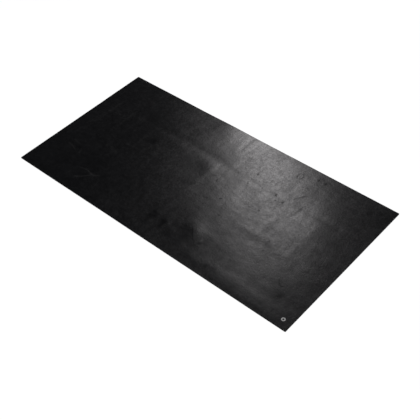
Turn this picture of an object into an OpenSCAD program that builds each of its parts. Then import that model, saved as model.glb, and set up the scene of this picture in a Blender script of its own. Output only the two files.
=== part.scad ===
// Self-healing mat: a flat laminated work surface for cutting, punching and
// stitching leather. Five plies are fused face to face and cut to size as one
// stack, and a small plain ring is printed in one corner.
//
// Frame: +X along the long side, +Y along the short side, +Z out of the
// working face. The origin is the centre of the underside, on the bench.
// All sizes are in millimetres.

/* [Sheet] */
// Length of the mat, along X
mat_l = 1219.2; // [300:0.1:2440]
// Width of the mat, along Y
mat_w = 609.6; // [200:0.1:1220]
// Radius of the four cut corners
corner_r = 3; // [0.5:0.5:25]

/* [Plies] */
// Thickness of the hard-wearing top skin
top_skin_t = 0.4; // [0.2:0.05:0.8]
// Thickness of each soft ply that closes up after a cut
healing_t = 0.9; // [0.4:0.05:2]
// Thickness of the stiff sheet in the middle
core_t = 0.4; // [0.2:0.05:1.5]
// Thickness of the grippy skin underneath
base_skin_t = 0.4; // [0.2:0.05:0.8]

/* [Corner mark] */
// Distance of the mark's centre from both edges of its corner
mark_inset = 31.75; // [15:0.25:80]
// Outside diameter of the printed ring
mark_d = 13.5; // [9:0.5:20]
// Width of the ring's line
mark_line = 3.4; // [0.8:0.1:4]
// Thickness of the ink
mark_t = 0.05; // [0.02:0.01:0.15]

/* [Hidden] */
$fn = 96;
// Heights of the faces between the plies, from the bench up
z_lower = base_skin_t;
z_core = z_lower + healing_t;
z_upper = z_core + core_t;
z_skin = z_upper + healing_t;
mat_t = z_skin + top_skin_t;
// Centre of the corner mark
mark_x = mat_l / 2 - mark_inset;
mark_y = -mat_w / 2 + mark_inset;

// Rectangle with round corners: two bars and four discs
module cut_outline(l, w, r) {
    square([l - 2 * r, w], center = true);
    square([l, w - 2 * r], center = true);
    for (sx = [-1, 1], sy = [-1, 1])
        translate([sx * (l / 2 - r), sy * (w / 2 - r)])
            circle(r = r);
}

// One ply of the stack, from height z up
module ply(z, t) {
    translate([0, 0, z])
        linear_extrude(height = t)
            cut_outline(mat_l, mat_w, corner_r);
}

// Outline of the printed mark: a plain ring
module mark_outline() {
    difference() {
        circle(d = mark_d);
        circle(d = mark_d - 2 * mark_line);
    }
}

// Ink of the mark, from height z up
module mark_solid(z, t) {
    translate([mark_x, mark_y, z])
        linear_extrude(height = t)
            mark_outline();
}

// Calendered skin that takes the blade, with the print's shallow recess
module top_skin() {
    color([0.060, 0.060, 0.064])
        difference() {
            ply(z_skin, top_skin_t);
            mark_solid(mat_t - mark_t, mark_t + 1);
        }
}

// Soft filled ply under the skin
module upper_healing_ply() {
    color([0.085, 0.085, 0.088]) ply(z_upper, healing_t);
}

// Stiff sheet that keeps a blade from going through and the mat flat
module core_sheet() {
    color([0.16, 0.16, 0.165]) ply(z_core, core_t);
}

// Soft filled ply below the core, so that either way up lies flat
module lower_healing_ply() {
    color([0.085, 0.085, 0.088]) ply(z_lower, healing_t);
}

// Grippy skin on the bench
module base_skin() {
    color([0.070, 0.070, 0.072]) ply(0, base_skin_t);
}

// Printed ring, flush with the working face
module corner_mark() {
    color([0.86, 0.86, 0.85]) mark_solid(mat_t - mark_t, mark_t);
}

top_skin();
upper_healing_ply();
core_sheet();
lower_healing_ply();
base_skin();
corner_mark();
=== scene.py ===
import math

import bpy
import numpy as np
from mathutils import Matrix, Vector


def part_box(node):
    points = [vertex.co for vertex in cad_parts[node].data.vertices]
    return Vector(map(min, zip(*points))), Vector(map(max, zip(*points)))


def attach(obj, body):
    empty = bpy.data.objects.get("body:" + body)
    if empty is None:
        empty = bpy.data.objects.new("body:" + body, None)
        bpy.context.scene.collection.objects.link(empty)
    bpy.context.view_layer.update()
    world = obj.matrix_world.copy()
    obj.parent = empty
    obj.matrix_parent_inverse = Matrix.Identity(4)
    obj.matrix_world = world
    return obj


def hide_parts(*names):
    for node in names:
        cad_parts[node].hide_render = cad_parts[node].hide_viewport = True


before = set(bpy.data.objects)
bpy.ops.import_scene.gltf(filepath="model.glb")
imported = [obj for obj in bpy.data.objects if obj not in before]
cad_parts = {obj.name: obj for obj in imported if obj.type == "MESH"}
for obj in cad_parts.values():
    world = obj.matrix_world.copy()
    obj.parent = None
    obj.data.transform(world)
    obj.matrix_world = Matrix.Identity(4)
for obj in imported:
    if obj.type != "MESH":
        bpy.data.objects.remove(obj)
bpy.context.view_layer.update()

# ---------------------------------------------------------------------------
# Sizes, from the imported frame. Lengths are in metres unless a name ends in _mm.
# ---------------------------------------------------------------------------
lo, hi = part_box("top_skin")
MAT_L, MAT_W = hi.x - lo.x, hi.y - lo.y
CORNER_R = 0.003
Z = {n: (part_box(n)[0].z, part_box(n)[1].z) for n in
     ("base_skin", "lower_healing_ply", "core_sheet", "upper_healing_ply", "top_skin")}
THICK = Z["top_skin"][1]
mark_lo, mark_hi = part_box("corner_mark")
MARK_C = ((mark_lo.x + mark_hi.x) / 2, (mark_lo.y + mark_hi.y) / 2)
MARK_R = (mark_hi.x - mark_lo.x) / 2

# ---------------------------------------------------------------------------
# Camera: the photograph's angle, three-quarter view from the mark's corner
# ---------------------------------------------------------------------------
CAM_AZ, CAM_EL, CAM_ROLL = math.radians(44.798), math.radians(45.986), math.radians(-4.501)
CAM_TARGET, CAM_DIST, CAM_LENS = Vector((0.10905, -0.07217, 0.0025)), 2.7446, 69.97

back = Vector((math.sin(CAM_AZ) * math.cos(CAM_EL), -math.cos(CAM_AZ) * math.cos(CAM_EL), math.sin(CAM_EL)))
right = (-back).cross(Vector((0, 0, 1))).normalized()
up = right.cross(-back)
cam_x = right * math.cos(CAM_ROLL) + up * math.sin(CAM_ROLL)
cam_y = -right * math.sin(CAM_ROLL) + up * math.cos(CAM_ROLL)
cam_data = bpy.data.cameras.new("camera")
cam_data.lens, cam_data.sensor_width = CAM_LENS, 36.0
cam_data.clip_start, cam_data.clip_end = 0.05, 400.0
camera = bpy.data.objects.new("camera", cam_data)
bpy.context.scene.collection.objects.link(camera)
camera.matrix_world = Matrix.Translation(CAM_TARGET + back * CAM_DIST) @ Matrix(
    (cam_x, cam_y, back)).transposed().to_4x4()
bpy.context.scene.camera = camera

# ---------------------------------------------------------------------------
# Shape of the sheet as it lies. Heights and places in millimetres.
# ---------------------------------------------------------------------------
# Swells where the sheet stands off the bench: centre x, y, half widths, turn in degrees, height
SWELLS = [
    (-47, 92, 30, 16, -8, 0.36), (-22, 78, 22, 28, 0, 0.38), (127, -172, 36, 23, -45, 0.78), (165, 48, 28, 34, 0, -0.40),
    (-105, 285, 55, 50, 0, 0.95), (150, -165, 70, 42, 0, 0.45), (450, 50, 52, 95, 0, 0.60),
    (-30, 74, 46, 32, 0, 0.26), (-190, -330, 90, 45, 0, 0.70),
    (45, 250, 22, 40, 0, -0.28), (-150, 240, 50, 50, 0, -0.12), (340, 120, 28, 30, 0, -0.24),
    (345, 48, 14, 26, 0, -0.10), (420, 140, 40, 25, 0, 0.25), (560, -235, 30, 25, 0, -0.25),
    (215, 60, 26, 30, 0, 0.26), (300, -20, 14, 30, 0, 0.28), (430, 60, 22, 26, 0, 0.24),
    (-120, -60, 70, 50, 0, 0.30), (560, 60, 35, 60, 0, -0.30), (230, -150, 60, 35, 0, -0.25),
    (400, -150, 50, 40, 0, -0.25), (-330, 240, 60, 45, 0, 0.12), (-400, -90, 70, 60, 20, 0.16),
]
# Folds from packing, each along a line: from x, y to x, y, half width, ridge height, step height
FOLDS = [
    (-480, 129, -15, 124, 14, -0.36, -0.16), (0, 124, 150, 121, 10, -0.11, 0.03),
    (105, 111, 250, 110, 9, 0.0, -0.09), (362, 119, 515, 117, 10, -0.24, -0.12),
    (210, -72, 362, -70, 13, 0.10, 0.07), (140, -262, 590, -258, 18, 0.42, -0.04),
    (300, -290, 590, -292, 10, 0.19, 0.05), (2, 305, 2, 215, 9, -0.08, 0.12),
    (-12, 118, -14, -240, 9, 0.02, -0.05), (-545, 140, -548, -60, 9, 0.0, -0.20),
    (-455, 140, -457, 10, 8, 0.02, -0.14), (-335, 120, -335, -290, 10, 0.12, 0.02),
    (295, 30, 297, -60, 8, 0.05, 0.08), (430, 100, 430, -95, 10, 0.03, 0.05),
    (348, 130, 340, 75, 7, 0.04, -0.06),
]


SOFT = 1.4


def along(x, y, x0, y0, x1, y1):
    """Distance along a line, distance to its left, and the line's length."""
    dx, dy = x1 - x0, y1 - y0
    n = math.hypot(dx, dy)
    dx, dy = dx / n, dy / n
    return (x - x0) * dx + (y - y0) * dy, -(x - x0) * dy + (y - y0) * dx, n


def fade_ends(s, n, soft):
    return 0.25 * (1 + np.tanh(s / soft)) * (1 + np.tanh((n - s) / soft))


def swells_and_folds(x, y):
    """Height in mm of the swells and folds; SOFT evens out how the list's heights read on this satin skin."""
    h = np.zeros_like(x)
    for cx, cy, sx, sy, turn, amp in SWELLS:
        c, s = math.cos(math.radians(turn)), math.sin(math.radians(turn))
        u, v = ((x - cx) * c + (y - cy) * s) / sx, (-(x - cx) * s + (y - cy) * c) / sy
        h += SOFT * amp * np.exp(-0.5 * (u * u + v * v))
    for x0, y0, x1, y1, w, amp, step in FOLDS:
        s, d, n = along(x, y, x0, y0, x1, y1)
        t, e = d / w, fade_ends(s, n, max(1.5 * w, 12))
        h += SOFT * (amp * np.exp(-0.5 * t * t) + step * t * np.exp(0.5 - 0.5 * t * t)) * e
    return h


def waves(seed, count, short, long, height, rolled=0.0):
    """A field of seeded cosine waves: wavelengths short to long, in mm, and the field's rms height.
    A share of them, rolled, runs along X or Y in short crests, as rolling and calendering leave them."""
    rng = np.random.RandomState(seed)
    length = np.exp(rng.uniform(math.log(short), math.log(long), count))
    turn, phase = rng.uniform(0, 2 * math.pi, count), rng.uniform(0, 2 * math.pi, (2, count))
    straight = rng.uniform(0, 1, count) < rolled
    turn = np.where(straight, rng.randint(0, 2, count) * math.pi / 2 + rng.normal(0, 0.05, count), turn)
    crest = np.where(straight, 2 * math.pi / (length * rng.uniform(2.5, 6.0, count)), 0.0)
    size = length / np.sqrt((length ** 2).sum() / 2) * height * np.where(straight, math.sqrt(2), 1.0)
    c, s = np.cos(turn), np.sin(turn)

    def field(x, y):
        h = np.zeros_like(x)
        for i in range(count):
            u, v = x * c[i] + y * s[i], -x * s[i] + y * c[i]
            wave = size[i] * np.cos(2 * math.pi / length[i] * u + phase[0, i])
            h += wave * np.cos(crest[i] * v + phase[1, i]) if straight[i] else wave
        return h
    return field


calender_waves = waves(11, 130, 13, 110, 0.064, 0.80)    # orange peel of the calendered skin
lie_waves = waves(5, 24, 120, 420, 0.10)          # how the sheet lies
shine_waves = waves(41, 110, 11, 90, 1.0, 0.35)   # patches of more and less shine


def wear(x, y):
    """How far the skin's texture is worn flat, 0 to 1: most at the mark's end and along the near side."""
    r = np.clip((np.hypot(x - 150, y - 230) / 330 - 0.80) / 0.40, 0, 1)
    side = np.clip((x + 100) / 200, 0, 1)
    return r * r * (3 - 2 * r) * side * side * (3 - 2 * side)


def sheet_shape(x, y):
    """Height of the sheet above its flat place, in mm; x, y in mm."""
    return swells_and_folds(x, y) + lie_waves(x, y)


def top_mm(x, y):
    return THICK * 1000 + sheet_shape(x, y) + calender_waves(x, y) * (1 - 0.40 * wear(x, y))


def under_mm(x, y):
    """The underside rests on the bench: it follows the swells up, and nothing goes below the bench."""
    h = sheet_shape(x, y)
    return 0.5 * (h + np.sqrt(h * h + 0.02 ** 2)) - 0.01 + 0.01


def level_mm(share):
    """Height of a face that is at this share of the thickness."""
    def at(x, y):
        b = under_mm(x, y)
        return b + (THICK * 1000 + sheet_shape(x, y) - b) * share
    return at


# Pits and nicks in the skin: centre x, y, half widths, turn, depth
PITS = [
    (280, 106, 4.2, 4.6, 0, 0.16), (125, 162, 3.6, 5.8, 35, 0.13), (239, 120, 2.8, 6.0, 42, 0.13),
    (253, 99, 2.4, 3.2, 40, 0.12), (101, -10, 2.4, 5.0, -48, 0.08), (312, 269, 4.4, 4.6, 25, 0.10),
    (340, 268, 4.6, 6.0, 20, 0.04), (303, 213, 3.4, 4.2, 30, 0.05), (172, 83, 2.4, 2.6, 0, 0.035),
    (138, 63, 2.2, 2.6, 0, 0.035), (238, 27, 3.0, 3.2, 0, 0.06), (352, -60, 3.0, 4.2, 0, 0.06),
    (103, 62, 3.8, 6.0, 0, 0.012), (182, 119, 2.4, 5.0, 0, 0.015), (266, 220, 2.4, 4.2, 70, 0.05),
    (126, 104, 3.5, 5.6, 35, 0.09), (272, 261, 2.0, 3.2, 40, 0.02), (307, 88, 2.4, 2.6, 0, 0.02),
    (149, -73, 2.6, 2.4, 0, 0.05), (181, -209, 5.2, 4.6, 30, 0.06),
    (72, 157, 3.6, 4.6, 30, 0.060), (147, 103, 3.2, 3.4, 0, 0.015), (160, 105, 2.6, 2.6, 0, 0.015), (175, 63, 3.0, 3.4, 0, 0.022),
    (184, 76, 2.6, 2.6, 0, 0.015), (362, -101, 2.8, 3.6, 30, 0.040), (127, 186, 2.6, 5.5, 35, 0.025), (66, 126, 4.0, 5.0, 30, 0.018),
]
# Scratches: half width, depth, scuffed pale above 0 or rubbed dull below 0, points
SCRATCHES = [
    (2.6, 0.050, -0.38, [(330, 186), (322, 175), (312, 163), (304, 149), (299, 135)]),
    (1.8, 0.012, -0.30, [(346, 133), (344, 114), (345, 96), (341, 70)]),
    (1.1, 0.030, -0.40, [(268, 108), (271, 88), (276, 60)]),
    (2.2, 0.050, -0.60, [(244, 261), (240, 250), (241, 238), (248, 228)]),
    (2.0, 0.045, -0.60, [(248, 263), (257, 253), (259, 243), (254, 231)]),
    (1.6, 0.030, -0.42, [(473, -160), (481, -170), (489, -178), (497, -179), (506, -172)]),
    (1.7, 0.030, -0.50, [(1, 57), (7, 61), (14, 66), (18, 69)]),
    (1.9, 0.035, -0.60, [(36, 41), (33, 49), (31, 58)]),
    (1.8, 0.020, -0.40, [(110, -163), (126, -179), (141, -196), (160, -214)]),
    (1.0, 0.040, -0.50, [(-531, 83), (-513, 66), (-500, 55), (-484, 41)]),
    (1.6, 0.060, 1.00, [(-402, -205), (-386, -201), (-367, -197), (-350, -200), (-335, -203), (-322, -200), (-305, -187)]),
    (1.7, 0.060, 1.00, [(-383, -250), (-366, -239), (-352, -226), (-341, -213), (-332, -204), (-318, -196)]),
    (1.4, 0.055, 0.80, [(-534, -141), (-512, -140), (-496, -146), (-477, -153)]),
    (1.6, 0.045, 0.45, [(-532, -109), (-510, -116), (-488, -118)]),
    (1.6, 0.045, 0.80, [(-468, -130), (-463, -144), (-456, -157)]),
    (1.2, 0.040, 0.45, [(-290, -212), (-288, -226), (-283, -244)]),
    (1.2, 0.040, 0.45, [(-376, -66), (-368, -74), (-368, -90), (-374, -104)]),
    (1.2, 0.030, 0.35, [(-352, -68), (-342, -82), (-344, -100)]),
]


def smooth_line(points, n=8):
    """Points along a Catmull-Rom curve through these."""
    p = np.array([points[0]] + list(points) + [points[-1]], float)
    t = np.linspace(0, 1, n, endpoint=False)[:, None]
    out = [0.5 * (2 * p[i + 1] + (p[i + 2] - p[i]) * t + (2 * p[i] - 5 * p[i + 1] + 4 * p[i + 2] - p[i + 3]) * t ** 2
                  + (3 * p[i + 1] - p[i] - 3 * p[i + 2] + p[i + 3]) * t ** 3) for i in range(len(p) - 3)]
    return np.vstack(out + [p[-1:]])


PIT_DEPTH, SCRATCH_DEPTH = 0.9, 0.9
SCRATCH_LINES = [(w, d, pale, smooth_line(p)) for w, d, pale, p in SCRATCHES]


def line_distance(x, y, line):
    """Distance to a line of points, and the share of the way along it."""
    best, at = np.full(x.shape, 1e9), np.zeros(x.shape)
    step = np.hypot(*np.diff(line, axis=0).T)
    start = np.concatenate([[0], np.cumsum(step)])
    for i in range(len(line) - 1):
        (x0, y0), (dx, dy) = line[i], line[i + 1] - line[i]
        t = np.clip(((x - x0) * dx + (y - y0) * dy) / step[i] ** 2, 0, 1)
        d = np.hypot(x - x0 - t * dx, y - y0 - t * dy)
        near = d < best
        best = np.where(near, d, best)
        at = np.where(near, (start[i] + t * step[i]) / start[-1], at)
    return best, at


def marks_in_skin(x, y):
    """Depth of pits and scratches, in mm, and how scuffed and how dull the skin is there, 0 to 1."""
    h, scuff, dull = np.zeros_like(x), np.zeros_like(x), np.zeros_like(x)
    for cx, cy, sx, sy, turn, depth in PITS:
        near = np.flatnonzero((np.abs(x - cx) < 22) & (np.abs(y - cy) < 22))
        c, s = math.cos(math.radians(turn)), math.sin(math.radians(turn))
        u, v = (x[near] - cx) * c + (y[near] - cy) * s, -(x[near] - cx) * s + (y[near] - cy) * c
        r2 = (u / sx) ** 2 + (v / sy) ** 2
        h[near] -= PIT_DEPTH * depth * (np.exp(-r2) - 0.15 * np.exp(-(np.sqrt(r2) - 1.9) ** 2 / 0.3))
        dull[near] = np.maximum(dull[near], min(0.75, 0.15 + 9 * depth) * np.exp(-r2 * 0.7))
    for w, depth, pale, line in SCRATCH_LINES:
        a, b = line.min(0) - 8, line.max(0) + 8
        near = np.flatnonzero((x > a[0]) & (x < b[0]) & (y > a[1]) & (y < b[1]))
        d, at = line_distance(x[near], y[near], line)
        ends = np.clip(np.minimum(at, 1 - at) / 0.12, 0, 1) ** 0.7
        h[near] -= SCRATCH_DEPTH * depth * ends * (np.exp(-(d / w) ** 2) - 0.35 * np.exp(-((d - 2.0 * w) / (0.8 * w)) ** 2))
        band = abs(pale) * ends * np.exp(-(d / (1.2 * w)) ** 2)
        if pale > 0:
            scuff[near] = np.maximum(scuff[near], band)
        else:
            dull[near] = np.maximum(dull[near], band)
    return h, scuff, dull


# ---------------------------------------------------------------------------
# Mesh of a ply: a grid inside, rings round the cut edge, closed below
# ---------------------------------------------------------------------------
A_MM, B_MM = MAT_L * 500 - CORNER_R * 1000, MAT_W * 500 - CORNER_R * 1000
R_MM = CORNER_R * 1000
NX, NY = 344, 172          # cells of the fine grid, 3.5 mm
K = 4                      # cells in a refined cell, each way
COARSE = 4                 # fine cells in a cell of a hidden face
ARC = 8                    # steps round a corner

cut_wave_a = waves(21, 16, 30, 240, 0.030)
cut_wave_b = waves(23, 30, 3, 14, 0.010)


def edge_nodes():
    """The edge's nodes in order: grid index on the inner rectangle and outward direction."""
    nodes = []
    for i in range(NX + 1):
        nodes.append((i, 0, 0.0, -1.0))
    for k in range(1, ARC):
        t = math.pi / 2 * k / ARC
        nodes.append((NX, 0, math.sin(t), -math.cos(t)))
    for j in range(NY + 1):
        nodes.append((NX, j, 1.0, 0.0))
    for k in range(1, ARC):
        t = math.pi / 2 * k / ARC
        nodes.append((NX, NY, math.cos(t), math.sin(t)))
    for i in range(NX, -1, -1):
        nodes.append((i, NY, 0.0, 1.0))
    for k in range(1, ARC):
        t = math.pi / 2 * k / ARC
        nodes.append((0, NY, -math.sin(t), math.cos(t)))
    for j in range(NY, -1, -1):
        nodes.append((0, j, -1.0, 0.0))
    for k in range(1, ARC):
        t = math.pi / 2 * k / ARC
        nodes.append((0, 0, -math.cos(t), -math.sin(t)))
    return nodes


NODES = edge_nodes()
EI = np.array([n[0] for n in NODES])
EJ = np.array([n[1] for n in NODES])
EN = np.array([[n[2], n[3]] for n in NODES])
EBASE = np.stack([-A_MM + EI * 2 * A_MM / NX, -B_MM + EJ * 2 * B_MM / NY], -1)
EDGE_XY = EBASE + EN * R_MM


def face_grid(cell, refined=()):
    """A grid face: lattice points, and its faces as tuples. cell is the number of fine cells in a cell.
    The border has a node at every fine cell. Cells in refined are cut K by K, and their neighbours are fanned to match."""
    exists = np.zeros((NX * K + 1, NY * K + 1), bool)
    c = cell * K
    exists[::c, ::c] = True
    exists[::K, 0] = exists[::K, -1] = True
    exists[0, ::K] = exists[-1, ::K] = True
    fine = np.zeros((NX // cell, NY // cell), bool)
    for i, j in refined:
        fine[i, j] = True
        exists[i * c:(i + 1) * c + 1, j * c:(j + 1) * c + 1] = True
    index = np.full(exists.shape, -1, np.int64)
    where = np.argwhere(exists)
    index[where[:, 0], where[:, 1]] = np.arange(len(where))
    points = list(map(tuple, where.astype(float)))
    faces = []
    ni, nj = fine.shape
    sides = np.zeros((ni, nj), bool)      # cells that may have nodes on their sides
    sides[0, :] = sides[-1, :] = sides[:, 0] = sides[:, -1] = cell > 1
    near = fine.copy()
    near[1:, :] |= fine[:-1, :]
    near[:-1, :] |= fine[1:, :]
    near[:, 1:] |= fine[:, :-1]
    near[:, :-1] |= fine[:, 1:]
    sides |= near & ~fine
    plain = ~sides & ~fine
    ii, jj = np.nonzero(plain)
    q = np.stack([index[ii * c, jj * c], index[(ii + 1) * c, jj * c],
                  index[(ii + 1) * c, (jj + 1) * c], index[ii * c, (jj + 1) * c]], -1)
    faces += list(map(tuple, q.tolist()))
    for i, j in np.argwhere(fine):
        for a in range(c):
            for b in range(c):
                u, v = i * c + a, j * c + b
                faces.append((int(index[u, v]), int(index[u + 1, v]), int(index[u + 1, v + 1]), int(index[u, v + 1])))
    for i, j in np.argwhere(sides):
        i0, i1, j0, j1 = i * c, (i + 1) * c, j * c, (j + 1) * c
        ring = [index[u, j0] for u in range(i0, i1)] + [index[i1, v] for v in range(j0, j1)]
        ring += [index[u, j1] for u in range(i1, i0, -1)] + [index[i0, v] for v in range(j1, j0, -1)]
        ring = [int(r) for r in ring if r >= 0]
        if len(ring) == 4:
            faces.append(tuple(ring))
            continue
        centre = len(points)
        points.append(((i0 + i1) / 2, (j0 + j1) / 2))
        faces += [(ring[k], ring[(k + 1) % len(ring)], centre) for k in range(len(ring))]
    xy = np.array(points)
    xy = np.stack([-A_MM + xy[:, 0] / K * 2 * A_MM / NX, -B_MM + xy[:, 1] / K * 2 * B_MM / NY], -1)
    border = index[EI * K, EJ * K]
    return xy, faces, border


def ply(name, top_z, bottom_z, rings, top_cell=COARSE, refined=(), bottom_cell=COARSE, extra=None, wave_seed=0):
    """A closed ply. rings: (inset from the cut edge in mm, share of the way down 0 to 1, drop in mm) from the top face's border
    to the bottom face's. top_z and bottom_z give heights in mm at x, y in mm."""
    xy_t, faces_t, border_t = face_grid(top_cell, refined)
    xy_b, faces_b, border_b = face_grid(bottom_cell)
    n_edge = len(NODES)
    wave = (cut_wave_a(EDGE_XY[:, 0] + 977.0 * wave_seed, EDGE_XY[:, 1])
            + cut_wave_b(EDGE_XY[:, 0], EDGE_XY[:, 1] + 431.0 * wave_seed))
    wave = np.clip(wave + 0.05, 0.0, 0.14)
    coords, heights = [xy_t], [top_z(xy_t[:, 0], xy_t[:, 1])]
    starts, at = [], len(xy_t)
    for inset, down, drop in rings:
        keep = 1 - min(inset, R_MM) / R_MM
        p = EBASE + EN * (R_MM - inset - wave * keep)[:, None]
        zt, zb = top_z(p[:, 0], p[:, 1]), bottom_z(p[:, 0], p[:, 1])
        coords.append(p)
        heights.append(zt + (zb - zt) * down - drop)
        starts.append(at)
        at += n_edge
    coords.append(xy_b)
    heights.append(bottom_z(xy_b[:, 0], xy_b[:, 1]))
    start_b = at
    faces = list(faces_t)
    following = (np.arange(n_edge) + 1) % n_edge

    def band(upper, lower):
        """Faces between two loops of node numbers; a loop may hold one node several times, at a corner."""
        for i in range(n_edge):
            j = following[i]
            f = [int(lower[i]), int(lower[j]), int(upper[j]), int(upper[i])]
            if f[2] == f[3]:
                f = f[:3]
            if f[0] == f[1]:
                f = f[1:]
            faces.append(tuple(f))
    loops = [border_t] + [s + np.arange(n_edge) for s in starts] + [start_b + border_b]
    for a, b in zip(loops[:-1], loops[1:]):
        band(a, b)
    faces += [tuple(start_b + v for v in reversed(f)) for f in faces_b]
    xy = np.vstack(coords)
    z = np.concatenate(heights)
    values = {}
    if extra is not None:
        dz, values = extra(xy[:, 0], xy[:, 1])
        top = np.arange(len(xy)) < starts[0]
        z = z + np.where(top, dz, 0)
        values["film"][starts[4]:] = 0.75      # the cut edge has no calendered shine
    me = bpy.data.meshes.new(name)
    me.from_pydata(np.column_stack([xy, z]) / 1000.0, [], faces)
    me.polygons.foreach_set("use_smooth", np.ones(len(me.polygons), bool))
    me.set_sharp_from_angle(angle=math.radians(50))
    for key, value in values.items():
        a = me.attributes.new(key, "FLOAT", "POINT")
        a.data.foreach_set("value", np.asarray(value, np.float32))
    me.validate()
    ob = bpy.data.objects.new(name, me)
    bpy.context.scene.collection.objects.link(ob)
    return ob


def cells_near_marks():
    """Fine cells that a pit or a scratch touches."""
    found = set()

    def add(x, y, reach):
        for i in range(int((x - reach + A_MM) / (2 * A_MM) * NX), int((x + reach + A_MM) / (2 * A_MM) * NX) + 1):
            for j in range(int((y - reach + B_MM) / (2 * B_MM) * NY), int((y + reach + B_MM) / (2 * B_MM) * NY) + 1):
                if 1 <= i < NX - 1 and 1 <= j < NY - 1:
                    found.add((i, j))
    for cx, cy, sx, sy, turn, depth in PITS:
        add(cx, cy, 1.5 * max(sx, sy))
    for w, depth, pale, line in SCRATCH_LINES:
        for a, b in zip(line[:-1], line[1:]):
            for t in np.linspace(0, 1, 6):
                p = a + (b - a) * t
                add(p[0], p[1], 1.6 * w)
    return sorted(found)


# Dull and glossy patches of the skin: centre x, y, half widths, turn, roughness change
PATCHES = [
    (-290, 60, 14, 13, 0, -0.060), (20, -212, 9, 20, 0, -0.060), (-30, -215, 9, 12, 0, -0.035),
    (65, 132, 22, 6, 0, 0.020), (-60, 62, 12, 22, 0, -0.010), (110, -190, 22, 14, -40, -0.020),
    (285, -78, 68, 13, 0, 0.020), (135, 40, 22, 24, 0, -0.008),
    (-470, 240, 170, 70, 0, -0.010), (-362, 10, 62, 230, 0, -0.022), (570, -130, 60, 120, 0, -0.020),
    (215, 105, 60, 50, 0, 0.011), (420, 275, 80, 40, 0, -0.010), (141, 66, 32, 26, 0, -0.016),
    (105, -248, 60, 36, 0, -0.018), (310, -268, 60, 26, 0, -0.018),
]
# Where the skin is duller above 0 and shinier below 0, set through the specular level. These spots are partly a film of
# talc and dust and shine from handling, and partly painted shade and painted highlight that darken or brighten the
# window light's glow: centre x, y, half widths, turn, strength
FILM_AND_PAINTED_LIGHT = [
    (-284, 62, 7, 12, 25, 0.62), (-305, 50, 9, 6, 0, 0.32), (22, -207, 9, 9, 0, 0.85), (27, -228, 5, 9, 0, 0.55),
    (-18, -208, 6, 8, 0, 0.80), (-33, -195, 7, 5, 0, 0.70), (-34, -214, 7, 5, 0, 0.70), (-30, -240, 5, 9, 10, 0.55),
    (105, -180, 14, 12, 0, 0.24), (115, -208, 14, 12, 0, 0.16), (-470, -48, 6, 7, 0, 0.34), (-448, -48, 5, 6, 0, 0.30),
    (-345, -178, 7, 4, -35, 0.35), (-293, -182, 7, 4, -30, 0.40), (-480, -177, 6, 5, 0, 0.28), (-535, 8, 9, 6, 0, 0.22),
    (261, -262, 7, 6, 0, 0.42), (283, -256, 14, 7, 0, 0.30), (310, -70, 52, 10, 0, 0.12),
    (3, 285, 5, 24, 0, 0.28), (398, 112, 40, 6, 0, 0.10), (-504, -130, 12, 5, -25, 0.30), (-478, -134, 10, 5, -30, 0.25),
    (-337, 12, 4, 26, 0, 0.25), (210, 194, 5, 5, 0, 0.15), (107, -152, 10, 7, 0, 0.15),
    (-35, 262, 62, 42, 0, -0.26), (385, 108, 48, 46, 0, -0.20), (138, 35, 32, 44, 0, -0.14), (-71, 205, 42, 30, 0, -0.08),
    (285, -130, 44, 32, 0, -0.14), (235, 240, 55, 45, 0, -0.10), (-165, -272, 72, 30, 0, -0.18),
    (150, -160, 22, 26, 0, -0.16), (-578, -60, 30, 130, 0, -0.16), (-71, 0, 32, 30, 0, 0.12), (353, 66, 24, 26, 0, -0.15), (33, 66, 5, 8, 40, -0.55), (45, 58, 4, 8, 40, -0.45), (-8, 80, 6, 5, 0, -0.45), (179, -194, 4, 4, 0, -0.70),
    (515, -212, 8, 6, 40, 0.40), (557, -182, 13, 6, 40, 0.20), (543, -211, 9, 4, 40, 0.14), (520, -175, 6, 6, 0, 0.14),
    (521, -130, 10, 10, 0, 0.10), (533, -198, 7, 5, 40, -0.12), (353, 265, 28, 22, 0, 0.14), (353, -265, 30, 22, 0, 0.14),
    (-530, -265, 54, 26, 0, -0.12), (-424, 265, 28, 24, 0, -0.14), (350, -212, 8, 42, 0, -0.18), (535, -130, 9, 100, 0, -0.14),
    (452, 36, 14, 9, 0, 0.14), (-132, 292, 26, 24, 0, 0.16), (-98, 240, 20, 18, 0, 0.10), (38, 286, 40, 22, 0, -0.10), (-353, -66, 30, 30, 0, 0.10),
    (350, -195, 34, 34, 0, -0.12), (5, 272, 34, 30, 0, -0.12), (490, -268, 26, 20, 0, -0.14), (570, -262, 22, 24, 0, 0.16),
    (25, -133, 52, 30, 0, 0.24), (120, -228, 62, 36, 0, 0.26), (-358, 0, 44, 250, 0, 0.15), (575, -90, 36, 90, 0, 0.24),
    (-112, 62, 44, 26, 0, 0.17), (-460, 165, 62, 50, 0, 0.17), (-282, 95, 38, 48, 0, 0.13), (498, 199, 40, 42, 0, 0.17),
    (498, -199, 34, 40, 0, 0.20), (206, 130, 44, 30, 0, 0.06),
]
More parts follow.
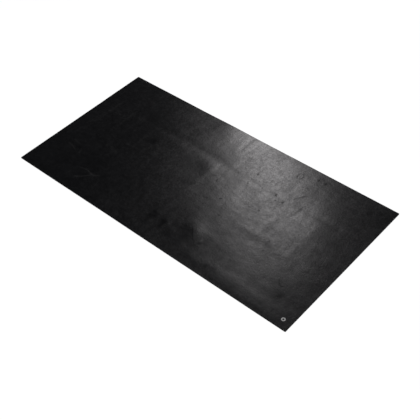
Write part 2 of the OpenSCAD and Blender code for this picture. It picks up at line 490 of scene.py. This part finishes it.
# Pale rubbed places, and a painted highlight along the fold at x = -4: centre x, y, half widths, turn, strength
RUBS_AND_PAINTED_HIGHLIGHT = [
    (-544, 118, 4, 28, 0, 0.40), (-552, 55, 5, 5, 0, 0.35), (-558, -4, 5, 11, 0, 0.45), (-459, 130, 4, 18, 0, 0.50),
    (-505, 91, 30, 3, 5, 0.40), (-459, 60, 4, 40, 0, 0.16), (-328, 50, 4, 24, 0, 0.28), (-412, 124, 5, 24, 0, 0.26),
    (-408, -250, 10, 8, 0, 0.32), (-460, -245, 10, 5, 0, 0.22), (-7, -230, 3, 11, 40, 0.60), (44, -204, 4, 3, 0, 0.60),
    (82, -216, 4, 4, 0, 0.50), (180, -193, 4, 4, 0, 1.0), (150, -242, 9, 5, -40, 0.55), (38, -181, 12, 10, 0, 0.15),
    (342, 50, 7, 12, 0, 0.70), (-447, -76, 6, 5, 0, 0.42), (-410, -60, 6, 4, 0, 0.55), (-472, -62, 7, 4, 0, 0.40),
    (-384, -58, 7, 4, -20, 0.48), (-358, -68, 7, 5, 0, 0.50), (-348, -9, 6, 4, 0, 1.0), (-334, -203, 11, 3, 0, 1.0),
    (-371, -243, 9, 3, 35, 0.9), (-520, -141, 14, 3, 0, 0.35), (-461, -148, 3, 7, 0, 0.6), (-510, -116, 18, 4, 0, 0.25),
    # Painted highlight: a long pale line along the fold at x = -4, where the crease catches the light
    (-4, -110, 4, 90, 0, 0.12),
]


def patch_sum(x, y, patches):
    out = np.zeros_like(x)
    for cx, cy, sx, sy, turn, amp in patches:
        c, s = math.cos(math.radians(turn)), math.sin(math.radians(turn))
        u, v = ((x - cx) * c + (y - cy) * s) / sx, (-(x - cx) * s + (y - cy) * c) / sy
        out += amp * np.exp(-0.5 * (u * u + v * v))
    return out


def skin_marks(x, y):
    dz, scuff, dull = marks_in_skin(x, y)
    # film: dull pits and scratches, worn shine, and the sheen spots' talc, dust, painted shade and painted highlight
    return dz, {"scuff": scuff, "rub_and_painted_highlight": np.clip(patch_sum(x, y, RUBS_AND_PAINTED_HIGHLIGHT), 0, 1),
                "gloss": patch_sum(x, y, PATCHES), "film": np.clip(dull + patch_sum(x, y, FILM_AND_PAINTED_LIGHT) + 0.075 * wear(x, y) * shine_waves(x, y), -0.4, 0.88)}


S = {n: (Z[n][0] / THICK, Z[n][1] / THICK) for n in Z}
ROUND = 0.22
rounded = [(1.5, 0, 0), (0.6, 0, 0.004)]
for t in (0, 20, 40, 60, 78):
    a = math.radians(t)
    rounded.append((ROUND * (1 - math.sin(a)), 0, 0.008 + ROUND * (1 - math.cos(a))))
rounded_down = [(0.0, 0.72, 0.0), (0.0, 1.0, 0.0)]

top_skin = ply("mat_top_skin", top_mm, level_mm(S["top_skin"][0]), rounded + rounded_down,
               top_cell=1, refined=cells_near_marks(), extra=skin_marks, wave_seed=1)
upper_ply = ply("mat_upper_healing_ply", level_mm(S["upper_healing_ply"][1]), level_mm(S["upper_healing_ply"][0]),
                [(0.05, 0, 0), (0.03, 0.12, 0), (0.10, 0.5, 0), (0.04, 0.88, 0), (0.06, 1, 0)], wave_seed=2)
core = ply("mat_core_sheet", level_mm(S["core_sheet"][1]), level_mm(S["core_sheet"][0]),
           [(0.02, 0, 0), (0.0, 0.2, 0), (0.0, 0.8, 0), (0.02, 1, 0)], wave_seed=3)
lower_ply = ply("mat_lower_healing_ply", level_mm(S["lower_healing_ply"][1]), level_mm(S["lower_healing_ply"][0]),
                [(0.05, 0, 0), (0.03, 0.12, 0), (0.10, 0.5, 0), (0.04, 0.88, 0), (0.06, 1, 0)], wave_seed=4)
base_rings = [(0.0, 0, 0), (0.0, 0.45, 0)]
for t in (78, 60, 40, 20, 0):
    a = math.radians(t)
    base_rings.append((0.18 * (1 - math.sin(a)), 1, -0.18 * (1 - math.cos(a))))
base_rings.append((1.2, 1, 0))
base_skin = ply("mat_base_skin", level_mm(S["base_skin"][1]), under_mm, base_rings, bottom_cell=2, wave_seed=5)


# ---------------------------------------------------------------------------
# Printed mark: a plain ring, a thin film on the skin
# ---------------------------------------------------------------------------
def printed_mark():
    verts, faces = [], []
    cx, cy = MARK_C[0] * 1000, MARK_C[1] * 1000
    seg = 96
    film = 0.028

    def loop(r, dz):
        t = np.linspace(0, 2 * math.pi, seg, endpoint=False)
        wob = 1 + 0.0025 * np.sin(7 * t + r) + 0.0018 * np.sin(17 * t + 2 * r)
        x, y = cx + r * wob * np.cos(t), cy + r * wob * np.sin(t)
        z = top_mm(x, y) + dz
        start = len(verts)
        verts.extend(zip(x / 1000, y / 1000, z / 1000))
        return start

    def join(a, b):
        for k in range(seg):
            m = (k + 1) % seg
            faces.append((a + k, a + m, b + m, b + k))
    r_out, r_in = MARK_R * 1000, MARK_R * 1000 - 3.4
    ring = [loop(r_in, -0.02), loop(r_in, film * 0.55), loop(r_in + 0.10, film), loop((r_in + r_out) / 2, film * 1.1),
            loop(r_out - 0.10, film), loop(r_out, film * 0.55), loop(r_out, -0.02)]
    for a, b in zip(ring, ring[1:] + ring[:1]):
        join(b, a)
    me = bpy.data.meshes.new("mat_corner_print")
    me.from_pydata(verts, [], faces)
    me.polygons.foreach_set("use_smooth", np.ones(len(me.polygons), bool))
    me.set_sharp_from_angle(angle=math.radians(60))
    me.validate()
    ob = bpy.data.objects.new("mat_corner_print", me)
    bpy.context.scene.collection.objects.link(ob)
    return ob


corner_print = printed_mark()


# ---------------------------------------------------------------------------
# Materials
# ---------------------------------------------------------------------------
class Nodes:
    """A short way to write a node tree."""

    def __init__(self, name):
        self.mat = bpy.data.materials.new(name)
        self.mat.use_nodes = True
        self.t = self.mat.node_tree
        self.t.nodes.clear()
        self.out = self.t.nodes.new("ShaderNodeOutputMaterial")
        self.p = self.t.nodes.new("ShaderNodeBsdfPrincipled")
        self.t.links.new(self.p.outputs[0], self.out.inputs["Surface"])
        self.xyz = self.t.nodes.new("ShaderNodeTexCoord").outputs["Object"]

    def put(self, socket, value):
        if isinstance(value, bpy.types.NodeSocket):
            self.t.links.new(value, socket)
        else:
            socket.default_value = value

    def map(self, scale=(1, 1, 1), turn=(0, 0, 0), shift=(0, 0, 0)):
        n = self.t.nodes.new("ShaderNodeMapping")
        n.inputs["Scale"].default_value = scale
        n.inputs["Rotation"].default_value = turn
        n.inputs["Location"].default_value = shift
        self.t.links.new(self.xyz, n.inputs["Vector"])
        return n.outputs[0]

    def noise(self, scale, detail=2.0, rough=0.5, distort=0.0, vector=None):
        n = self.t.nodes.new("ShaderNodeTexNoise")
        n.inputs["Scale"].default_value = scale
        n.inputs["Detail"].default_value = detail
        n.inputs["Roughness"].default_value = rough
        n.inputs["Distortion"].default_value = distort
        self.t.links.new(vector or self.xyz, n.inputs["Vector"])
        return n.outputs["Fac"]

    def cells(self, scale, feature="F1", smooth=0.5, vector=None, randomness=1.0):
        n = self.t.nodes.new("ShaderNodeTexVoronoi")
        n.feature = feature
        n.inputs["Scale"].default_value = scale
        n.inputs["Randomness"].default_value = randomness
        if "Smoothness" in n.inputs:
            n.inputs["Smoothness"].default_value = smooth
        self.t.links.new(vector or self.xyz, n.inputs["Vector"])
        return n.outputs["Distance"]

    def attribute(self, name):
        n = self.t.nodes.new("ShaderNodeAttribute")
        n.attribute_name = name
        return n.outputs["Fac"]

    def math(self, op, a, b=None, clamp=False):
        n = self.t.nodes.new("ShaderNodeMath")
        n.operation = op
        n.use_clamp = clamp
        self.put(n.inputs[0], a)
        if b is not None:
            self.put(n.inputs[1], b)
        return n.outputs[0]

    def span(self, value, a, b, c, d, smooth=False):
        n = self.t.nodes.new("ShaderNodeMapRange")
        n.interpolation_type = "SMOOTHSTEP" if smooth else "LINEAR"
        self.put(n.inputs["Value"], value)
        for k, v in (("From Min", a), ("From Max", b), ("To Min", c), ("To Max", d)):
            n.inputs[k].default_value = v
        return n.outputs[0]

    def mix(self, share, a, b):
        n = self.t.nodes.new("ShaderNodeMix")
        n.data_type = "RGBA"
        self.put(n.inputs["Factor"], share)
        self.put(n.inputs[6], a)
        self.put(n.inputs[7], b)
        return n.outputs[2]

    def bump(self, height, distance, strength=1.0, normal=None):
        n = self.t.nodes.new("ShaderNodeBump")
        n.inputs["Strength"].default_value = strength
        n.inputs["Distance"].default_value = distance
        self.put(n.inputs["Height"], height)
        if normal is not None:
            self.put(n.inputs["Normal"], normal)
        return n.outputs[0]


def grey(v, blue=1.04, red=1.0):
    return (v * red, v, v * blue, 1.0)


def skin_material():
    m = Nodes("satin_black_skin")
    cloud = m.noise(7.0, 3.0, 0.55, 0.4)
    smudge = m.noise(26.0, 4.0, 0.6, 0.9)
    wipe = m.noise(1.0, 3.0, 0.6, 0.2, m.map((9, 70, 1), (0, 0, math.radians(28))))
    wipe_x = m.noise(1.0, 3.0, 0.6, 0.1, m.map((8, 75, 1)))
    wipe_y = m.noise(1.0, 3.0, 0.6, 0.1, m.map((80, 9, 1), shift=(3, 5, 0)))
    patchy = m.noise(62.0, 3.0, 0.6, 0.5)
    mottle = m.noise(150.0, 3.0, 0.6)
    grain = m.cells(620.0, "SMOOTH_F1", 0.6)
    fine = m.noise(1500.0, 2.0, 0.6)
    scuff, rub_and_painted_highlight, gloss, film = (m.attribute(n) for n in ("scuff", "rub_and_painted_highlight", "gloss", "film"))
    rough = m.math("ADD", m.span(cloud, 0.3, 0.7, -0.010, 0.010), 0.306)
    rough = m.math("ADD", rough, m.span(smudge, 0.3, 0.7, -0.022, 0.022))
    rough = m.math("ADD", rough, m.span(wipe, 0.3, 0.7, -0.006, 0.006))
    rough = m.math("ADD", rough, m.span(wipe_x, 0.3, 0.7, -0.008, 0.008))
    rough = m.math("ADD", rough, m.span(wipe_y, 0.3, 0.7, -0.008, 0.008))
    rough = m.math("ADD", rough, m.span(patchy, 0.3, 0.7, -0.024, 0.024))
    rough = m.math("ADD", rough, m.span(mottle, 0.3, 0.7, -0.040, 0.040))
    rough = m.math("ADD", rough, gloss)
    rough = m.math("ADD", rough, m.math("MULTIPLY", scuff, 0.05))
    rough = m.math("ADD", rough, m.math("MULTIPLY", rub_and_painted_highlight, 0.02))
    m.put(m.p.inputs["Roughness"], m.math("MAXIMUM", rough, 0.277))
    tone = m.math("ADD", m.math("MULTIPLY", smudge, 0.3), m.math("MULTIPLY", patchy, 0.35))
    tone = m.math("ADD", tone, m.math("MULTIPLY", mottle, 0.35))
    base = m.mix(m.span(tone, 0.40, 0.60, 0.0, 1.0), grey(0.0060, 1.14, 0.98), grey(0.0122, 1.11, 0.98))
    broken = m.span(m.noise(420.0, 3.0, 0.6), 0.42, 0.62, 0.25, 1.0)
    base = m.mix(m.math("MULTIPLY", m.math("MULTIPLY", scuff, broken), 0.7), base, grey(0.055, 1.02))
    # Pale rubs lighten the base colour, and so does the painted highlight along the fold at x = -4
    base = m.mix(m.math("MULTIPLY", rub_and_painted_highlight, m.span(mottle, 0.35, 0.65, 0.3, 1.0)), base, grey(0.036, 1.02))
    m.put(m.p.inputs["Base Color"], base)
    m.p.inputs["IOR"].default_value = 1.5
    # The specular level falls with the film, at dull pits, dust and painted shade. It rises where the film is below 0,
    # at the painted highlights
    film_with_painted_light = m.math("MULTIPLY", film, m.span(m.math("ADD", patchy, mottle), 0.8, 1.2, 0.75, 1.25))
    m.put(m.p.inputs["Specular IOR Level"], m.math("SUBTRACT", 0.5, m.math("MULTIPLY", film_with_painted_light, 0.5)))
    h = m.math("ADD", m.math("MULTIPLY", grain, 0.8), m.math("MULTIPLY", fine, 0.35))
    n0 = m.bump(patchy, 0.000035)
    n1 = m.bump(mottle, 0.000220, normal=n0)
    m.put(m.p.inputs["Normal"], m.bump(h, 0.000006, normal=n1))
    return m.mat


def ply_material(name, dark, light, rough, lines):
    """Filled vinyl cut by a blade: fine drag lines along the cut and filler grains."""
    m = Nodes(name)
    drag = m.noise(1.0, 3.0, 0.6, 0.0, m.map((120, 120, lines)))
    nick = m.noise(900.0, 3.0, 0.6)
    cloud = m.noise(60.0, 3.0, 0.5)
    m.put(m.p.inputs["Base Color"], m.mix(m.span(drag, 0.3, 0.7, 0.0, 1.0), grey(dark), grey(light)))
    r = m.math("ADD", m.span(nick, 0.3, 0.7, -0.06, 0.06), rough)
    m.put(m.p.inputs["Roughness"], m.math("ADD", r, m.span(cloud, 0.3, 0.7, -0.04, 0.04), clamp=True))
    m.p.inputs["IOR"].default_value = 1.5
    m.p.inputs["Specular IOR Level"].default_value = 0.16
    n1 = m.bump(drag, 0.00002)
    m.put(m.p.inputs["Normal"], m.bump(nick, 0.00003, normal=n1))
    return m.mat


def base_material():
    """Matt grippy skin with a fine moulded pebble."""
    m = Nodes("grip_skin")
    pebble = m.cells(420.0, "SMOOTH_F1", 0.4)
    cloud = m.noise(14.0, 3.0, 0.55, 0.5)
    fine = m.noise(1200.0, 2.0, 0.6)
    m.put(m.p.inputs["Base Color"], m.mix(m.span(cloud, 0.3, 0.7, 0.0, 1.0), grey(0.0095), grey(0.0145)))
    m.put(m.p.inputs["Roughness"], m.math("ADD", m.span(cloud, 0.3, 0.7, -0.04, 0.04), 0.52, clamp=True))
    m.p.inputs["IOR"].default_value = 1.5
    m.p.inputs["Specular IOR Level"].default_value = 0.3
    n1 = m.bump(pebble, 0.00010)
    m.put(m.p.inputs["Normal"], m.bump(fine, 0.00001, normal=n1))
    return m.mat


def ink_material():
    """White screen ink, a little worn, with the skin showing through its pinholes."""
    m = Nodes("white_ink")
    wear = m.noise(1400.0, 3.0, 0.6)
    tone = m.noise(500.0, 3.0, 0.5)
    white = m.mix(m.span(tone, 0.3, 0.7, 0.0, 1.0), (0.78, 0.78, 0.77, 1), (0.90, 0.90, 0.885, 1))
    m.put(m.p.inputs["Base Color"], m.mix(m.span(wear, 0.66, 0.72, 0.0, 0.8), white, grey(0.01)))
    m.put(m.p.inputs["Roughness"], m.math("ADD", m.span(tone, 0.3, 0.7, -0.05, 0.05), 0.42, clamp=True))
    m.p.inputs["IOR"].default_value = 1.5
    m.put(m.p.inputs["Normal"], m.bump(tone, 0.00001))
    return m.mat


top_skin.data.materials.append(skin_material())
soft = ply_material("filled_vinyl", 0.015, 0.026, 0.62, 2600)
upper_ply.data.materials.append(soft)
lower_ply.data.materials.append(soft)
core.data.materials.append(ply_material("stiff_vinyl", 0.024, 0.038, 0.50, 3400))
base_skin.data.materials.append(base_material())
corner_print.data.materials.append(ink_material())

for piece, node, slot in (
    (top_skin, "top_skin", "top_skin"), (upper_ply, "upper_healing_ply", "healing_ply"),
    (core, "core_sheet", "core_sheet"), (lower_ply, "lower_healing_ply", "healing_ply"),
    (base_skin, "base_skin", "base_skin"), (corner_print, "corner_mark", "corner_ink"),
):
    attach(piece, "root")
    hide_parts(node)


# ---------------------------------------------------------------------------
# Stage: a pale floor, a plain pale wall far away, soft lights
# ---------------------------------------------------------------------------
def emitting(name, colour, glow):
    m = Nodes(name)
    m.p.inputs["Base Color"].default_value = colour
    m.p.inputs["Roughness"].default_value = 0.9
    m.p.inputs["Specular IOR Level"].default_value = 0.1
    m.p.inputs["Emission Color"].default_value = (1, 1, 1, 1)
    m.p.inputs["Emission Strength"].default_value = glow
    m.mat.cycles.emission_sampling = "NONE"
    return m.mat


FLOOR_GLOW = 0.97
me = bpy.data.meshes.new("floor")
me.from_pydata([(-90, -90, 0), (90, -90, 0), (90, 90, 0), (-90, 90, 0)], [], [(0, 1, 2, 3)])
floor = bpy.data.objects.new("floor", me)
bpy.context.scene.collection.objects.link(floor)
floor.location.z = -0.00002
me.materials.append(emitting("pale_floor", (0.16, 0.16, 0.16, 1), FLOOR_GLOW))
ring = [(42 * math.cos(2 * math.pi * k / 96), 42 * math.sin(2 * math.pi * k / 96)) for k in range(96)]
me = bpy.data.meshes.new("far_wall")
me.from_pydata([(x, y, -1) for x, y in ring] + [(x, y, 30) for x, y in ring], [],
               [(k, (k + 1) % 96, 96 + (k + 1) % 96, 96 + k) for k in range(96)])
wall = bpy.data.objects.new("far_wall", me)
bpy.context.scene.collection.objects.link(wall)
me.materials.append(emitting("pale_wall", (0.0, 0.0, 0.0, 1), FLOOR_GLOW))
wall.visible_glossy = wall.visible_diffuse = wall.visible_shadow = False


def softbox(name, azimuth, elevation, distance, width, height, radiance, aim=(0, 0, 0), roll=0.0, colour=(1, 1, 1)):
    """A rectangular soft light, seen from the origin at that azimuth, from +X towards +Y, and elevation."""
    a, e = math.radians(azimuth), math.radians(elevation)
    place = Vector((math.cos(a) * math.cos(e), math.sin(a) * math.cos(e), math.sin(e))) * distance
    n = (Vector(aim) - place).normalized()
    r = n.cross(Vector((0, 0, 1))).normalized()
    u = r.cross(n)
    c, s = math.cos(math.radians(roll)), math.sin(math.radians(roll))
    data = bpy.data.lights.new(name, "AREA")
    data.shape, data.size, data.size_y = "RECTANGLE", width, height
    data.energy = radiance * math.pi * width * height
    data.color = colour
    ob = bpy.data.objects.new(name, data)
    bpy.context.scene.collection.objects.link(ob)
    ob.matrix_world = Matrix.Translation(place) @ Matrix((r * c + u * s, -r * s + u * c, -n)).transposed().to_4x4()
    ob.visible_camera = False
    return ob


softbox("window_light", 120.96, 43.08, 2.340, 0.250, 0.784, 12.26, roll=9.7, colour=(1.02, 0.992, 1.003))
softbox("front_fill", -50, 62, 3.6, 2.0, 1.6, 2.6)

world = bpy.data.worlds.new("studio")
bpy.context.scene.world = world
world.use_nodes = True
world.cycles.sampling_method = "NONE"
wt = world.node_tree
wt.nodes.clear()
w_out, w_bg = wt.nodes.new("ShaderNodeOutputWorld"), wt.nodes.new("ShaderNodeBackground")
w_co, w_sep, w_ramp = (wt.nodes.new(n) for n in ("ShaderNodeTexCoord", "ShaderNodeSeparateXYZ", "ShaderNodeValToRGB"))
wt.links.new(w_co.outputs["Generated"], w_sep.inputs[0])
wt.links.new(w_sep.outputs["Z"], w_ramp.inputs[0])
w_dot, w_span, w_add = (wt.nodes.new(n) for n in ("ShaderNodeVectorMath", "ShaderNodeMapRange", "ShaderNodeVectorMath"))
w_dot.operation, w_add.operation = "DOT_PRODUCT", "ADD"
w_dot.inputs[1].default_value = (0.300, -0.925, 0.235)      # a soft pale wall low behind the camera
w_span.interpolation_type = "SMOOTHSTEP"
for key, v in (("From Min", 0.80), ("From Max", 0.99), ("To Min", 0.0), ("To Max", 0.36)):
    w_span.inputs[key].default_value = v
wt.links.new(w_co.outputs["Generated"], w_dot.inputs[0])
wt.links.new(w_dot.outputs["Value"], w_span.inputs["Value"])
wt.links.new(w_ramp.outputs[0], w_add.inputs[0])
wt.links.new(w_span.outputs[0], w_add.inputs[1])
wt.links.new(w_add.outputs[0], w_bg.inputs["Color"])
wt.links.new(w_bg.outputs[0], w_out.inputs["Surface"])
ramp = w_ramp.color_ramp
for at, v in ((0.0, 0.17), (0.12, 0.12), (0.30, 0.05), (0.55, 0.024), (1.0, 0.03)):
    if at in (0.0, 1.0):
        el = ramp.elements[0 if at == 0.0 else -1]
    else:
        el = ramp.elements.new(at)
    el.position = at
    el.color = (v, v, v * 1.08, 1)

bpy.context.scene.view_settings.view_transform = "Standard"
bpy.context.scene.view_settings.look = "None"
